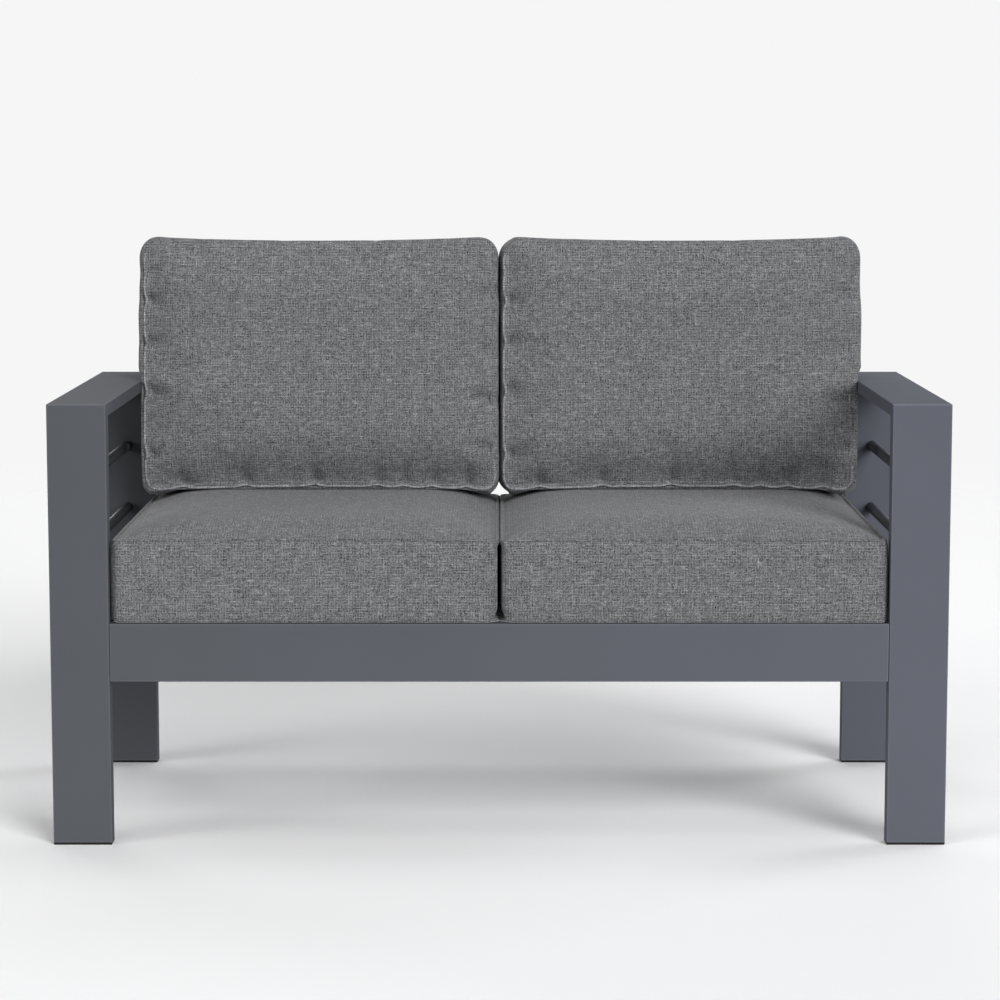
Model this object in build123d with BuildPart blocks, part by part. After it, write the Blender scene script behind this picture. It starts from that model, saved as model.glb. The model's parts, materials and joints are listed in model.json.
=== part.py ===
from build123d import *
import math
import os

# Patio loveseat in millimetres: +Z is up, the front faces -Y and +X is on the right from the front.
# The origin lies on the floor, under the middle of the frame.

# Overall frame
overall_width = 1350.0
overall_depth = 633.0
arm_height = 670.0

# Side frames: a wide flat tube runs up the front, along the arm and down the back
leg_width = 88.5
leg_depth = 30.0
arm_thickness = 20.0
frame_wall = 2.0
edge_radius = 1.5
top_corner_radius = 2.5
bar_diameter = 16.0
bar_wall = 1.5
upper_bar_drop = 123.0
bar_spacing = 105.0

# Foot caps, pushed into the open ends of the legs
cap_height = 4.0
cap_edge = 1.3
plug_height = 18.0
plug_wall = 2.0
plug_clearance = 0.2
plug_rib_count = 3
plug_rib_thickness = 1.6
plug_rib_spacing = 24.0

# Seat frame, bolted between the side frames
rail_height = 88.0
rail_depth = 30.0
seat_top = 338.5
front_rail_recess = 1.0
end_rail_height = 60.0
slat_count = 10
slat_width = 50.0
slat_thickness = 20.0
slat_wall = 1.5

# Back frame, welded on the seat frame and bolted between the rear legs
top_rail_height = 40.0
back_slat_count = 6

# The end rails and the stiles, which the bolts go through
bolted_tube_width = 20.0

# Hexagon head bolts, washers and rivet nuts with a hexagonal body
hex_sides = 6
bolt_diameter = 8.0
bolt_hole_clearance = 0.5
bolt_head_radius = 7.5
bolt_head_height = 5.3
washer_diameter = 16.0
washer_thickness = 1.6
washer_clearance = 0.2
nut_flange_diameter = 15.0
nut_flange_thickness = 1.0
nut_body_radius = 6.3
nut_body_length = 16.0
nut_clearance = 0.1
thread_clearance = 0.1
thread_reach = 12.0
seat_bolt_count = 2
seat_bolt_spacing = 380.0
back_bolt_inset = 60.0

# All cushions
rest_clearance = 0.3
fibre_wrap = 18.0
seam_height = 1.5

# Seat cushions: a boxed cushion with a crowned top panel
seat_pair_gap = 6.0
seat_side_clearance = 4.5
seat_rear_clearance = 5.0
seat_setback = 3.0
seat_boxing = 131.0
seat_crown = 20.5
seat_corner = 22.0
seat_bulge = 5.0
seat_draw = 3.0

# Back cushions: they stand on the seat cushions and lean on the back frame
back_lean = 5.5
back_side_clearance = 0.5
back_seam_gap = 8.0
back_pair_gap = 1.5
back_height = 410.0
back_rear_crown = 14.0
back_boxing = 151.0
back_front_crown = 16.0
back_side_bulge = 8.0
back_top_bulge = 4.0
back_foot_bulge = 2.0
back_corner = 28.0
back_side_draw = 3.0
back_top_draw = 7.0
back_foot_draw = 3.0
back_stand_depth = 430.0
back_stand_rise = 1.5

# Boxing: places along it, each with its share of the seam: 1 at a seam, 0 where it swells most
boxing_shares = ((0.0, 1.0), (0.12, 0.35), (0.5, 0.0), (0.88, 0.35), (1.0, 1.0))
# Crowned panels: how far in the shoulder reaches, of half the shorter side, and its part of the rise
seat_shoulder_share = 0.2
seat_shoulder_rise_share = 0.72
back_shoulder_share = 0.24
back_shoulder_rise_share = 0.75
# The arch along a panel's height stands this much higher, so that the two arches cross in clean lines
second_arch_share = 1.06
# How much of the draw at a seam is gone at the middle of the boxing
boxing_ease_share = 0.6

# Places that follow from the sizes
half_width = overall_width / 2
inner_x = half_width - leg_width
leg_x = half_width - leg_width / 2
front_y = -overall_depth / 2
back_y = overall_depth / 2
front_leg_y = front_y + leg_depth / 2
front_leg_back = front_y + leg_depth
rear_leg_y = back_y - leg_depth / 2
rear_leg_front = back_y - leg_depth
leg_span = rear_leg_front - front_leg_back
bar_radius = bar_diameter / 2
upper_bar_z = arm_height - upper_bar_drop
bar_heights = (upper_bar_z - bar_spacing, upper_bar_z)
joint_gap = nut_flange_thickness
span_half = inner_x - joint_gap
rail_z = seat_top - rail_height / 2
front_rail_y = front_y + front_rail_recess + rail_depth / 2
front_rail_back = front_rail_y + rail_depth / 2
rear_rail_y = back_y - rail_depth / 2
rear_rail_front = rear_rail_y - rail_depth / 2
rail_span = rear_rail_front - front_rail_back
end_rail_x = span_half - bolted_tube_width / 2
end_rail_z = seat_top - end_rail_height / 2
slat_span = 2 * (span_half - bolted_tube_width)
stile_x = span_half - bolted_tube_width / 2
stile_top = arm_height - top_rail_height
bolt_hole_radius = bolt_diameter / 2 + bolt_hole_clearance
nut_hole_radius = nut_body_radius + nut_clearance
seat_bolt_ys = [(i - (seat_bolt_count - 1) / 2) * seat_bolt_spacing for i in range(seat_bolt_count)]
back_bolt_z = stile_top - back_bolt_inset
shank_length = washer_thickness + bolted_tube_width + joint_gap + thread_reach
sides = (("left", -1), ("right", 1))

os.makedirs("parts", exist_ok=True)


def save(piece, label):
    piece.part.label = label
    export_step(piece.part, f"parts/{label}.step")


def tube_section(width, height, wall, radius):
    """Draw the hollow section of a rectangular tube on the open sketch."""
    RectangleRounded(width, height, radius)
    Rectangle(width - 2 * wall, height - 2 * wall, mode=Mode.SUBTRACT)


def chamfered_section(width, height, wall, edge):
    """Draw the hollow section of a tube with chamfered edges on the open sketch."""
    outline = Rectangle(width, height)
    chamfer(outline.vertices(), edge)
    Rectangle(width - 2 * wall, height - 2 * wall, mode=Mode.SUBTRACT)


def facing_back(x, y, z):
    """A plane that faces +Y, with its sketch X along X."""
    return Plane(origin=(x, y, z), x_dir=(1, 0, 0), z_dir=(0, 1, 0))


def slat_places(count):
    """Places along X that leave equal gaps between slats and beside them."""
    pitch = (slat_span - count * slat_width) / (count + 1) + slat_width
    return [(i - (count - 1) / 2) * pitch for i in range(count)]


def facing_middle(x, y, z, side):
    """A plane at x on the given side that faces the middle, with its sketch X along Y."""
    return Plane(origin=(x * side, y, z), x_dir=(0, 1, 0), z_dir=(-side, 0, 0))


# Each mitre runs from an outer top corner of the side frame to the corner inside the arm
front_mitre = Plane(origin=(0, front_y, arm_height), z_dir=(0, arm_thickness, leg_depth))
rear_mitre = Plane(origin=(0, back_y, arm_height), z_dir=(0, -arm_thickness, leg_depth))

# The side outline of the frame, which rounds the two mitred corners
with BuildPart() as side_outline:
    with BuildSketch(Plane.YZ):
        with Locations((0, arm_height / 2)):
            Rectangle(overall_depth, arm_height)
        fillet(vertices().group_by(Axis.Y)[-1], top_corner_radius)
    extrude(amount=half_width, both=True)

# Side frames
for name, side in sides:
    with BuildPart() as front_leg:
        with BuildSketch(Plane.XY.offset(cap_height)):
            with Locations((leg_x * side, front_leg_y)):
                tube_section(leg_width, leg_depth, frame_wall, edge_radius)
        extrude(amount=arm_height - cap_height)
        split(bisect_by=front_mitre, keep=Keep.BOTTOM)
        add(side_outline.part, mode=Mode.INTERSECT)
    save(front_leg, f"front_leg_{name}")

    with BuildPart() as rear_leg:
        with BuildSketch(Plane.XY.offset(cap_height)):
            with Locations((leg_x * side, rear_leg_y)):
                tube_section(leg_width, leg_depth, frame_wall, edge_radius)
        extrude(amount=arm_height - cap_height)
        split(bisect_by=rear_mitre, keep=Keep.BOTTOM)
        add(side_outline.part, mode=Mode.INTERSECT)
        with BuildSketch(facing_middle(inner_x, rear_leg_y, back_bolt_z, side)):
            RegularPolygon(nut_hole_radius, hex_sides)
        extrude(amount=-2 * frame_wall, mode=Mode.SUBTRACT)
    save(rear_leg, f"rear_leg_{name}")

    with BuildPart() as armrest:
        with BuildSketch(facing_back(leg_x * side, front_y, arm_height - arm_thickness / 2)):
            tube_section(leg_width, arm_thickness, frame_wall, edge_radius)
        extrude(amount=overall_depth)
        split(bisect_by=front_mitre, keep=Keep.TOP)
        split(bisect_by=rear_mitre, keep=Keep.TOP)
        add(side_outline.part, mode=Mode.INTERSECT)
    save(armrest, f"armrest_{name}")

    for place, bar_z in zip(("lower", "upper"), bar_heights):
        with BuildPart() as arm_bar:
            with BuildSketch(facing_back(leg_x * side, front_leg_back, bar_z)):
                Circle(bar_radius)
                Circle(bar_radius - bar_wall, mode=Mode.SUBTRACT)
            extrude(amount=leg_span)
        save(arm_bar, f"arm_bar_{place}_{name}")

    with BuildPart() as side_rail:
        with BuildSketch(facing_back((inner_x + rail_depth / 2) * side, front_leg_back, rail_z)):
            tube_section(rail_depth, rail_height, frame_wall, edge_radius)
        extrude(amount=leg_span)
        with BuildSketch(*[facing_middle(inner_x, y, end_rail_z, side) for y in seat_bolt_ys]):
            RegularPolygon(nut_hole_radius, hex_sides)
        extrude(amount=-2 * frame_wall, mode=Mode.SUBTRACT)
    save(side_rail, f"side_rail_{name}")

# Foot caps: a glide plate under the tube, with a ribbed plug inside it
plug_width = leg_width - 2 * (frame_wall + plug_clearance)
plug_depth = leg_depth - 2 * (frame_wall + plug_clearance)
for name, side in sides:
    for place, cap_y in (("front", front_leg_y), ("rear", rear_leg_y)):
        with BuildPart() as foot_cap:
            with BuildSketch():
                with Locations((leg_x * side, cap_y)):
                    RectangleRounded(leg_width, leg_depth, edge_radius)
            extrude(amount=cap_height)
            chamfer(edges().group_by(Axis.Z)[0], cap_edge)
            with BuildSketch(Plane.XY.offset(cap_height)):
                with Locations((leg_x * side, cap_y)):
                    Rectangle(plug_width, plug_depth)
                    Rectangle(plug_width - 2 * plug_wall, plug_depth - 2 * plug_wall, mode=Mode.SUBTRACT)
                    with GridLocations(plug_rib_spacing, plug_depth, plug_rib_count, 1):
                        Rectangle(plug_rib_thickness, plug_depth)
            extrude(amount=plug_height)
        save(foot_cap, f"foot_cap_{place}_{name}")

# Seat frame
with BuildPart() as front_rail:
    with BuildSketch(Plane.YZ.offset(-span_half)):
        with Locations((front_rail_y, rail_z)):
            tube_section(rail_depth, rail_height, frame_wall, edge_radius)
    extrude(amount=2 * span_half)
save(front_rail, "seat_front_rail")

with BuildPart() as rear_rail:
    with BuildSketch(Plane.YZ.offset(-span_half)):
        with Locations((rear_rail_y, rail_z)):
            tube_section(rail_depth, rail_height, frame_wall, edge_radius)
    extrude(amount=2 * span_half)
save(rear_rail, "seat_rear_rail")

for name, side in sides:
    with BuildPart() as end_rail:
        with BuildSketch(facing_back(end_rail_x * side, front_rail_back, end_rail_z)):
            chamfered_section(bolted_tube_width, end_rail_height, frame_wall, edge_radius)
        extrude(amount=rail_span)
        with Locations(*[facing_middle(end_rail_x, y, end_rail_z, side) for y in seat_bolt_ys]):
            Hole(bolt_hole_radius)
    save(end_rail, f"seat_end_rail_{name}")

for i, slat_x in enumerate(slat_places(slat_count), 1):
    with BuildPart() as slat:
        with BuildSketch(facing_back(slat_x, front_rail_back, seat_top - slat_thickness / 2)):
            chamfered_section(slat_width, slat_thickness, slat_wall, edge_radius)
        extrude(amount=rail_span)
    save(slat, f"seat_slat_{i:02d}")

# Back frame
with BuildPart() as top_rail:
    with BuildSketch(Plane.YZ.offset(-span_half)):
        with Locations((rear_rail_y, arm_height - top_rail_height / 2)):
            tube_section(rail_depth, top_rail_height, frame_wall, edge_radius)
    extrude(amount=2 * span_half)
save(top_rail, "back_top_rail")

for name, side in sides:
    with BuildPart() as stile:
        with BuildSketch(Plane.XY.offset(seat_top)):
            with Locations((stile_x * side, rear_rail_y)):
                chamfered_section(bolted_tube_width, rail_depth, frame_wall, edge_radius)
        extrude(amount=stile_top - seat_top)
        with Locations(facing_middle(stile_x, rear_rail_y, back_bolt_z, side)):
            Hole(bolt_hole_radius)
    save(stile, f"back_stile_{name}")

for i, slat_x in enumerate(slat_places(back_slat_count), 1):
    with BuildPart() as back_slat:
        with BuildSketch(Plane.XY.offset(seat_top)):
            with Locations((slat_x, rear_rail_y)):
                chamfered_section(slat_width, slat_thickness, slat_wall, edge_radius)
        extrude(amount=stile_top - seat_top)
    save(back_slat, f"back_slat_{i:02d}")


# Fasteners: each is made once with its seat at the origin and its axis along Z
with BuildPart() as bolt:
    with BuildSketch():
        RegularPolygon(bolt_head_radius, hex_sides)
    extrude(amount=bolt_head_height)
    with BuildSketch():
        Circle(bolt_diameter / 2)
    extrude(amount=-shank_length)

with BuildPart() as washer:
    with BuildSketch():
        Circle(washer_diameter / 2)
        Circle(bolt_diameter / 2 + washer_clearance, mode=Mode.SUBTRACT)
    extrude(amount=washer_thickness)

# The rivet nut's flange stands in the joint gap and its body in the tube wall's hexagonal hole
with BuildPart() as rivet_nut:
    with BuildSketch():
        Circle(nut_flange_diameter / 2)
    extrude(amount=nut_flange_thickness)
    with BuildSketch():
        RegularPolygon(nut_body_radius, hex_sides)
    extrude(amount=-nut_body_length)
    Hole(bolt_diameter / 2 + thread_clearance)

bolt_seat_x = span_half - bolted_tube_width
fastened_places = [(y, end_rail_z) for y in seat_bolt_ys] + [(rear_rail_y, back_bolt_z)]
for piece, label, seat_x in (
    (bolt, "frame_bolts", bolt_seat_x - washer_thickness),
    (washer, "frame_washers", bolt_seat_x),
    (rivet_nut, "frame_rivet_nuts", inner_x),
):
    with BuildPart() as fasteners:
        with Locations(*[facing_middle(seat_x, y, z, side) for _, side in sides for y, z in fastened_places]):
            add(piece.part)
    save(fasteners, label)


# Cushions
def cushion_section(plane, low, high, corner, draw):
    """A rounded outline whose sides are drawn in between its corners."""
    low_x, low_y = low
    high_x, high_y = high
    mid_x = (low_x + high_x) / 2
    mid_y = (low_y + high_y) / 2
    side_draw, low_draw, high_draw = draw
    with BuildSketch(plane) as section:
        with BuildLine():
            ThreePointArc((low_x, low_y), (mid_x, low_y + low_draw), (high_x, low_y))
            ThreePointArc((high_x, low_y), (high_x - side_draw, mid_y), (high_x, high_y))
            ThreePointArc((high_x, high_y), (mid_x, high_y - high_draw), (low_x, high_y))
            ThreePointArc((low_x, high_y), (low_x + side_draw, mid_y), (low_x, low_y))
        make_face()
        fillet(section.vertices(), corner)
    return section.sketch.face()


def boxing(seam, depth, size, corner, draw, low_bulge, high_bulge):
    """The side strip of a cushion from seam to seam, swelling between them."""
    sections = []
    for along_share, seam_share in boxing_shares:
        swell = 1 - seam_share
        low = [-length / 2 - bulge * swell for length, bulge in zip(size, low_bulge)]
        high = [length / 2 + bulge * swell for length, bulge in zip(size, high_bulge)]
        eased = [amount * (1 - swell * boxing_ease_share) for amount in draw]
        sections.append(cushion_section(seam.offset(depth * along_share), low, high, corner, eased))
    with BuildPart() as strip:
        loft(sections=sections, ruled=True)
    return strip.part


def arch_profile(plane, span, rise, edge, shoulder, shoulder_rise_share):
    """An arched outline: a long low arc between two shoulders that stand on short edges."""
    half = span / 2
    left = (shoulder - half, rise * shoulder_rise_share)
    right = (half - shoulder, rise * shoulder_rise_share)
    with BuildSketch(plane) as profile:
        with BuildLine():
            crown = ThreePointArc(left, (0, rise), right)
            TangentArc(left, (-half, edge), tangent=-(crown % 0))
            TangentArc(right, (half, edge), tangent=crown % 1)
            Polyline((-half, edge), (-half, 0), (half, 0), (half, edge))
        make_face()
    return profile.sketch


def crowned_panel(seam, rise, size, corner, draw, shoulder_share, shoulder_rise_share):
    """A panel over its seam, arched along its width and its height."""
    width, height = size
    shoulder = shoulder_share * min(size) / 2
    edge = math.copysign(seam_height, rise)
    shape = (edge, shoulder, shoulder_rise_share)
    across = Plane(origin=seam.origin, x_dir=seam.x_dir, z_dir=-seam.y_dir)
    along = Plane(origin=seam.origin, x_dir=seam.y_dir, z_dir=seam.x_dir)
    first_arch = arch_profile(across, width, rise, *shape)
    second_arch = arch_profile(along, height, rise * second_arch_share, *shape)
    low = (-width / 2, -height / 2)
    high = (width / 2, height / 2)
    with BuildPart() as panel:
        with BuildSketch(seam):
            add(cushion_section(Plane.XY, low, high, corner, draw))
        extrude(amount=rise)
        extrude(first_arch, amount=height, both=True, mode=Mode.INTERSECT)
        extrude(second_arch, amount=width, both=True, mode=Mode.INTERSECT)
    return panel.part


# The seat cushions fill the space between the arms and end in front of the back frame
seat_width = inner_x - seat_side_clearance - seat_pair_gap / 2
seat_depth = rear_rail_front - seat_rear_clearance - front_y - seat_setback
seat_x = seat_pair_gap / 2 + seat_width / 2
seat_y = front_y + seat_setback + seat_depth / 2
seat_bottom = seat_top + rest_clearance
seat_size = (seat_width - 2 * seat_bulge, seat_depth - 2 * seat_bulge)
seat_outline = (seat_size, seat_corner, (seat_draw, seat_draw, seat_draw))
seat_bulges = (seat_bulge, seat_bulge)
seat_core_size = (
    seat_size[0] - 2 * fibre_wrap,
    seat_size[1] - 2 * fibre_wrap,
    seat_boxing - 2 * fibre_wrap,
)

# The back cushions stand across the seat cushions' crowns and lean on the back frame's top edge
lean_up = Vector(0, math.sin(math.radians(back_lean)), math.cos(math.radians(back_lean)))
lean_front = Vector(0, -lean_up.Z, lean_up.Y)
stand_point = Vector(0, front_y + back_stand_depth, seat_bottom + seat_boxing + seat_crown + back_stand_rise)
lean_point = Vector(0, rear_rail_front, arm_height) + lean_front * rest_clearance
back_foot = stand_point + lean_front * (lean_point - stand_point).dot(lean_front)
foot_plane = Plane(origin=back_foot, z_dir=lean_up)
back_width = inner_x - back_side_clearance - back_side_bulge - back_seam_gap / 2
back_x = back_seam_gap / 2 + back_width / 2
back_pair_bulge = (back_seam_gap - back_pair_gap) / 2
back_size = (back_width, back_height)
back_outline = (back_size, back_corner, (back_side_draw, back_foot_draw, back_top_draw))
back_core_size = (
    back_width - 2 * fibre_wrap,
    back_height - 2 * fibre_wrap,
    back_boxing - 2 * fibre_wrap,
)


def foam_block(place, size):
    """The foam core inside a cushion, a clearance smaller than the hollow that holds it."""
    with BuildPart() as block:
        with Locations(place):
            Box(*[length - 2 * rest_clearance for length in size])
    return block


for name, side in sides:
    bottom = Plane(origin=(seat_x * side, seat_y, seat_bottom))
    seam = bottom.offset(seat_boxing)
    core = bottom.offset(seat_boxing / 2)
    with BuildPart() as seat_cushion:
        add(boxing(bottom, seat_boxing, *seat_outline, seat_bulges, seat_bulges))
        add(crowned_panel(seam, seat_crown, *seat_outline, seat_shoulder_share, seat_shoulder_rise_share))
        split(bisect_by=foot_plane.offset(-rest_clearance), keep=Keep.BOTTOM)
        with Locations(core):
            Box(*seat_core_size, mode=Mode.SUBTRACT)
    save(seat_cushion, f"seat_cushion_{name}")
    save(foam_block(core, seat_core_size), f"seat_foam_{name}")

for name, side in sides:
    middle = back_foot + lean_up * (back_foot_bulge + back_height / 2) + Vector(back_x * side, 0, 0)
    rear_face = Plane(origin=middle, x_dir=(1, 0, 0), z_dir=lean_front)
    rear_seam = rear_face.offset(back_rear_crown)
    front_seam = rear_seam.offset(back_boxing)
    core = rear_seam.offset(back_boxing / 2)
    left_bulge, right_bulge = (back_pair_bulge, back_side_bulge)[::side]
    low_bulge = (left_bulge, back_foot_bulge)
    high_bulge = (right_bulge, back_top_bulge)
    shoulder_shares = (back_shoulder_share, back_shoulder_rise_share)
    with BuildPart() as back_cushion:
        add(boxing(rear_seam, back_boxing, *back_outline, low_bulge, high_bulge))
        add(crowned_panel(rear_seam, -back_rear_crown, *back_outline, *shoulder_shares))
        add(crowned_panel(front_seam, back_front_crown, *back_outline, *shoulder_shares))
        with Locations(core):
            Box(*back_core_size, mode=Mode.SUBTRACT)
    save(back_cushion, f"back_cushion_{name}")
    save(foam_block(core, back_core_size), f"back_foam_{name}")
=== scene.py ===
import json
import math
import bpy
import numpy as np
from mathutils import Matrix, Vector


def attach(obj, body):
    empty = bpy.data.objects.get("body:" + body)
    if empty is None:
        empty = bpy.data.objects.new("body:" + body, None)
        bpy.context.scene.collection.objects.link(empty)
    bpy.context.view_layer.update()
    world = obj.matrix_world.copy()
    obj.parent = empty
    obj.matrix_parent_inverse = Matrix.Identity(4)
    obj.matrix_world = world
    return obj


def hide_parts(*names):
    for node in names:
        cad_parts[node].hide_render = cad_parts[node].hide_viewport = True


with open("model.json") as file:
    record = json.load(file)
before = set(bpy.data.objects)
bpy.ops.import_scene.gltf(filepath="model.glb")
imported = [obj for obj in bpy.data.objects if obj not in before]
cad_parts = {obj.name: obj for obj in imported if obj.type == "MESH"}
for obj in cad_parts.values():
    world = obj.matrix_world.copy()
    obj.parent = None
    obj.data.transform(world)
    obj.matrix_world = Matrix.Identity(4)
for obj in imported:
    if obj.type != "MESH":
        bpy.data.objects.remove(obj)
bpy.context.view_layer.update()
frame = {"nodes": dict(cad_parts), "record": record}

# The frame is in metres: +Z up, the front faces -Y, +X on the right seen from the front.
# The cushions' values and points are in millimetres, and MM turns them into metres.
MM = 0.001
SIDES = (("left", -1), ("right", 1))
WHITE = (1.0, 1.0, 1.0)
FAR = 1e9
TINY = 1e-6

# Camera, fitted to the frame's edges in the photograph
CAMERA_PLACE = (0.0011, -4.7311, 1.058)
CAMERA_PITCH = 6.866
CAMERA_LENS = 107.136
SENSOR_WIDTH = 36.0

# Each soft lamp's height and bearing in degrees, counter-clockwise from +X, strength and tint
LAMPS = (
    ("front_right_mid", 30, 300, 1.56, WHITE),
    ("front_right_low", 12, 300, 1.67, (0.99, 1.0, 1.03)),
    ("front_mid", 30, 270, 0.22, WHITE),
    ("front_left_low", 16, 214, 0.95, WHITE),
    ("front_high", 70, 240, 0.40, WHITE),
    ("left_rear_low", 12, 120, 0.96, WHITE),
    ("rear_mid", 30, 90, 0.36, WHITE),
    ("right_rear_low", 12, 30, 1.42, (0.98, 1.0, 1.05)),
    ("rear_high", 70, 60, 0.50, WHITE),
)
LAMP_SPREAD = 30.0
ROOM_LEVEL = 0.06
BACKDROP_LEVEL = 0.921

# Floor: how pale it looks, how much light it throws back, and where it melts into the backdrop
FLOOR_TONE = 0.955
FLOOR_CLOUD = 1.002
FLOOR_BOUNCE = 0.45
FLOOR_SIZE = 24.0
FLOOR_FADE_START = 1.6
FLOOR_FADE_END = 5.5

# Powder coat: its two greys, painted shade with a warmer tint toward its left end, and its edges, lighter
# from wear and a painted highlight, and smoother
COAT_DARK = (0.095, 0.101, 0.120)
COAT_LIGHT = (0.105, 0.111, 0.133)
# Painted shade: the coat is darker and warmer toward the left end, over this reach either side of the middle
COAT_LEFT_SHADE_TINT = (0.80, 0.80, 0.73)
SIDE_SHADE_REACH = 0.7
COAT_ROUGHNESS = (0.78, 0.88)
COAT_GLOSS = 0.06
COAT_SPECKLE = 0.25
# Edges lighter and smoother, partly as wear and partly as a painted highlight
EDGE_WEAR_AND_GLINT_RADIUS = 0.0026
EDGE_WEAR_AND_GLINT_GAIN = 1.9
EDGE_WEAR_AND_GLINT_LEAST = 0.4
WORN_SMOOTHER = 0.1
EDGE_ALIKE = 0.92
# The round bars use a darker copy of the coat as painted shade, with a smoother, glossier finish
BAR_SHADE_LEVEL = 0.32
BAR_POLISH = 0.35
POLISH_GLOSS = 0.6

# Cloth: the thread pitch, how strongly each kind of unevenness shows, the painted shade in the gaps between
# threads, and the levels of the cloth, of its lighter copy for the trim as painted highlight and of its
# darker copy for the seam lines as painted shade
THREAD_PITCH = 2.05
PLIES = 2.0
BASE_TONE = 0.2
CROSSING_SPREAD = 0.8
PLY_SPREAD = 2.6
RUN_SCALE = 42.0
SLUB_SCALE = 92.0
SLUB_SHARE = 0.7
WEFT_STREAKS = 1.9
WARP_STREAKS = 1.4
HATCH = 1.0
HATCH_PATCH = 70.0
HATCH_STRETCH = 1.6
SIDE_FACING = 0.72
TOP_FACING = 0.58
# Painted shade: how dark the gaps between threads are
THREAD_GAP_SHADE = 0.5
THREAD_HEIGHT = 0.0005
CLOTH_TINT = (0.992, 1.0, 1.03)
FABRIC_LEVEL = 0.0715
# Painted highlight: the welts and hems use a lighter copy of the cloth
TRIM_LIT_LEVEL = 0.120
# Painted shade: the seat's seam lines use a darker copy of the cloth
SEAM_SHADE_LEVEL = 0.034
# Steps in the noise from one thread to the next, and a seed for each pattern
THREAD_STEP = 7.31
PAIR_STEP = 3.77
SEEDS = {"crossing": 2.0, "ply": 9.0, "weft": 41.0, "warp": 3.0, "weft_hatch": 17.0, "warp_hatch": 29.0}
SLUB_SEED = 5.0

# Cushion meshes: the spacing of their points, closer beside the seams
SEAM_SPACING = (0.0, 3.2, 7.0, 11.5, 17.5, 25.5, 35.5)
BOXING_SPACINGS = 4
PANEL_SPACING = 11.5
RING_SPACING = 10.0
STITCH_ROW = 2

# Cloth simulation: its length, the cap on moves, and how much of the folds is kept
SIMULATED_FRAMES = 18
MOVE_LIMIT = 26.0
BROAD_ROUNDS = 40
SEAM_HOLD = 11.0
BOXING_FOLDS = 0.4
EVEN_PULL = 0.25
PULL_WIDTH = 12.0

# Relief along the front seam: gathers and dimples, lip and groove, crease and tuck
GATHER_WIDTH = 11.0
GATHER_REACH = 14.0
GATHER_FALL = 1.5
DIMPLE_WIDTH = 10.5
DIMPLE_REACH = 12.0
LIP_PLACES = (0, 1.6, 3.2, 5.1, 7.0, 9.3, 12.0)
CREASE_WIDTH = 2.2
TUCK_WIDTH = 2.5
FOOT_REACH = 42.0
FOOT_FALL = 1.6
REAR_FADE = 4
SEAM_MARGIN = 2.0
SHOULDER_RANGE = (120.0, 25.0)
TURNED_FROM = 40.0
TURNED_FULLY = 12.0
TURNED_ABOVE_FOOT = 60.0

# Sewn trim: stitches in millimetres, and the radii of welts and seam lines in metres
STITCH_LENGTH = 3.2
STITCH_PITCH = 4.8
STITCH_RADIUS = 0.45
STITCH_SIDES = 6
STITCH_PROFILE = ((0.0, 0.5), (0.2, 1.0), (0.8, 1.0), (1.0, 0.5))
STITCH_SUNK = 0.8
FINE_STEP = 0.4
WELT_STEP = 3.0
SEAM_STEP = 4.0
WELT_RADIUS = 0.0019
SEAM_RADIUS = 0.0008
HEM_RADIUS = 0.0010
HEM_LIFT = 1.2
TUBE_SIDES = 8
TUBE_AXIS = (0.13, 0.31, 0.94)

# Shapes of the cushions on their own axes: u across, v up the panel, w through it. A seat
# cushion's front panel is its top, and its low side is the edge at the front of the sofa.
# A draw pulls a side in between its corners, a bulge swells the boxing, and its swell says how
# soon that is full. A rise is a crown's height, and a higher roll makes it flatter. Points below
# held_below stay still in the simulation. A gather is a place along its side and a strength.
SEAT_SHAPE = {
    "half_u": 291.3, "half_v": 293.5, "low_corner": (13.0, 13.0), "high_corner": (10.0, 10.0),
    "left_draw": 0.3, "right_draw": 0.3, "low_draw": 1.0, "high_draw": 2.0,
    "left_bulge": 3.2, "right_bulge": 3.2, "low_bulge": 3.5, "high_bulge": 4.5,
    "welt_lift": 0.0, "welt_sink": 0.0, "held_below": 1.0,
    "front_seam": 124.0, "rear_seam": 0.0, "front_rise": 29.0, "rear_rise": 0.0,
    "side_roll": 4.5, "low_roll": 6.0, "high_roll": 12.0,
    "left_swell": 8.0, "right_swell": 8.0, "end_swell": 8.0,
    "low_corner_draw": 3.0, "high_corner_draw": 3.0, "shoulder": 0.0, "foot_tuck": 0.0,
    "shrink": 0.03, "pressure": 3.0, "bending": 2.0, "fold_share": 0.25,
    "gather_draw": 0.5, "gather_depth": 0.7, "tuck": 1.8, "crease": 0.0,
    "lip": (0.5, 2.0, 2.4, 1.6, -1.7, -0.6, 0.0),
    "low_gathers": ((-205, 0.6), (-90, 0.4), (40, 0.5), (150, 0.4), (230, 0.6)),
    "high_gathers": ((-180, 0.5), (20, 0.5), (190, 0.5)),
    "left_gathers": ((-200, 0.5), (-60, 0.6), (110, 0.5)),
    "right_gathers": ((-180, 0.6), (-20, 0.5), (140, 0.5)),
}
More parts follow.
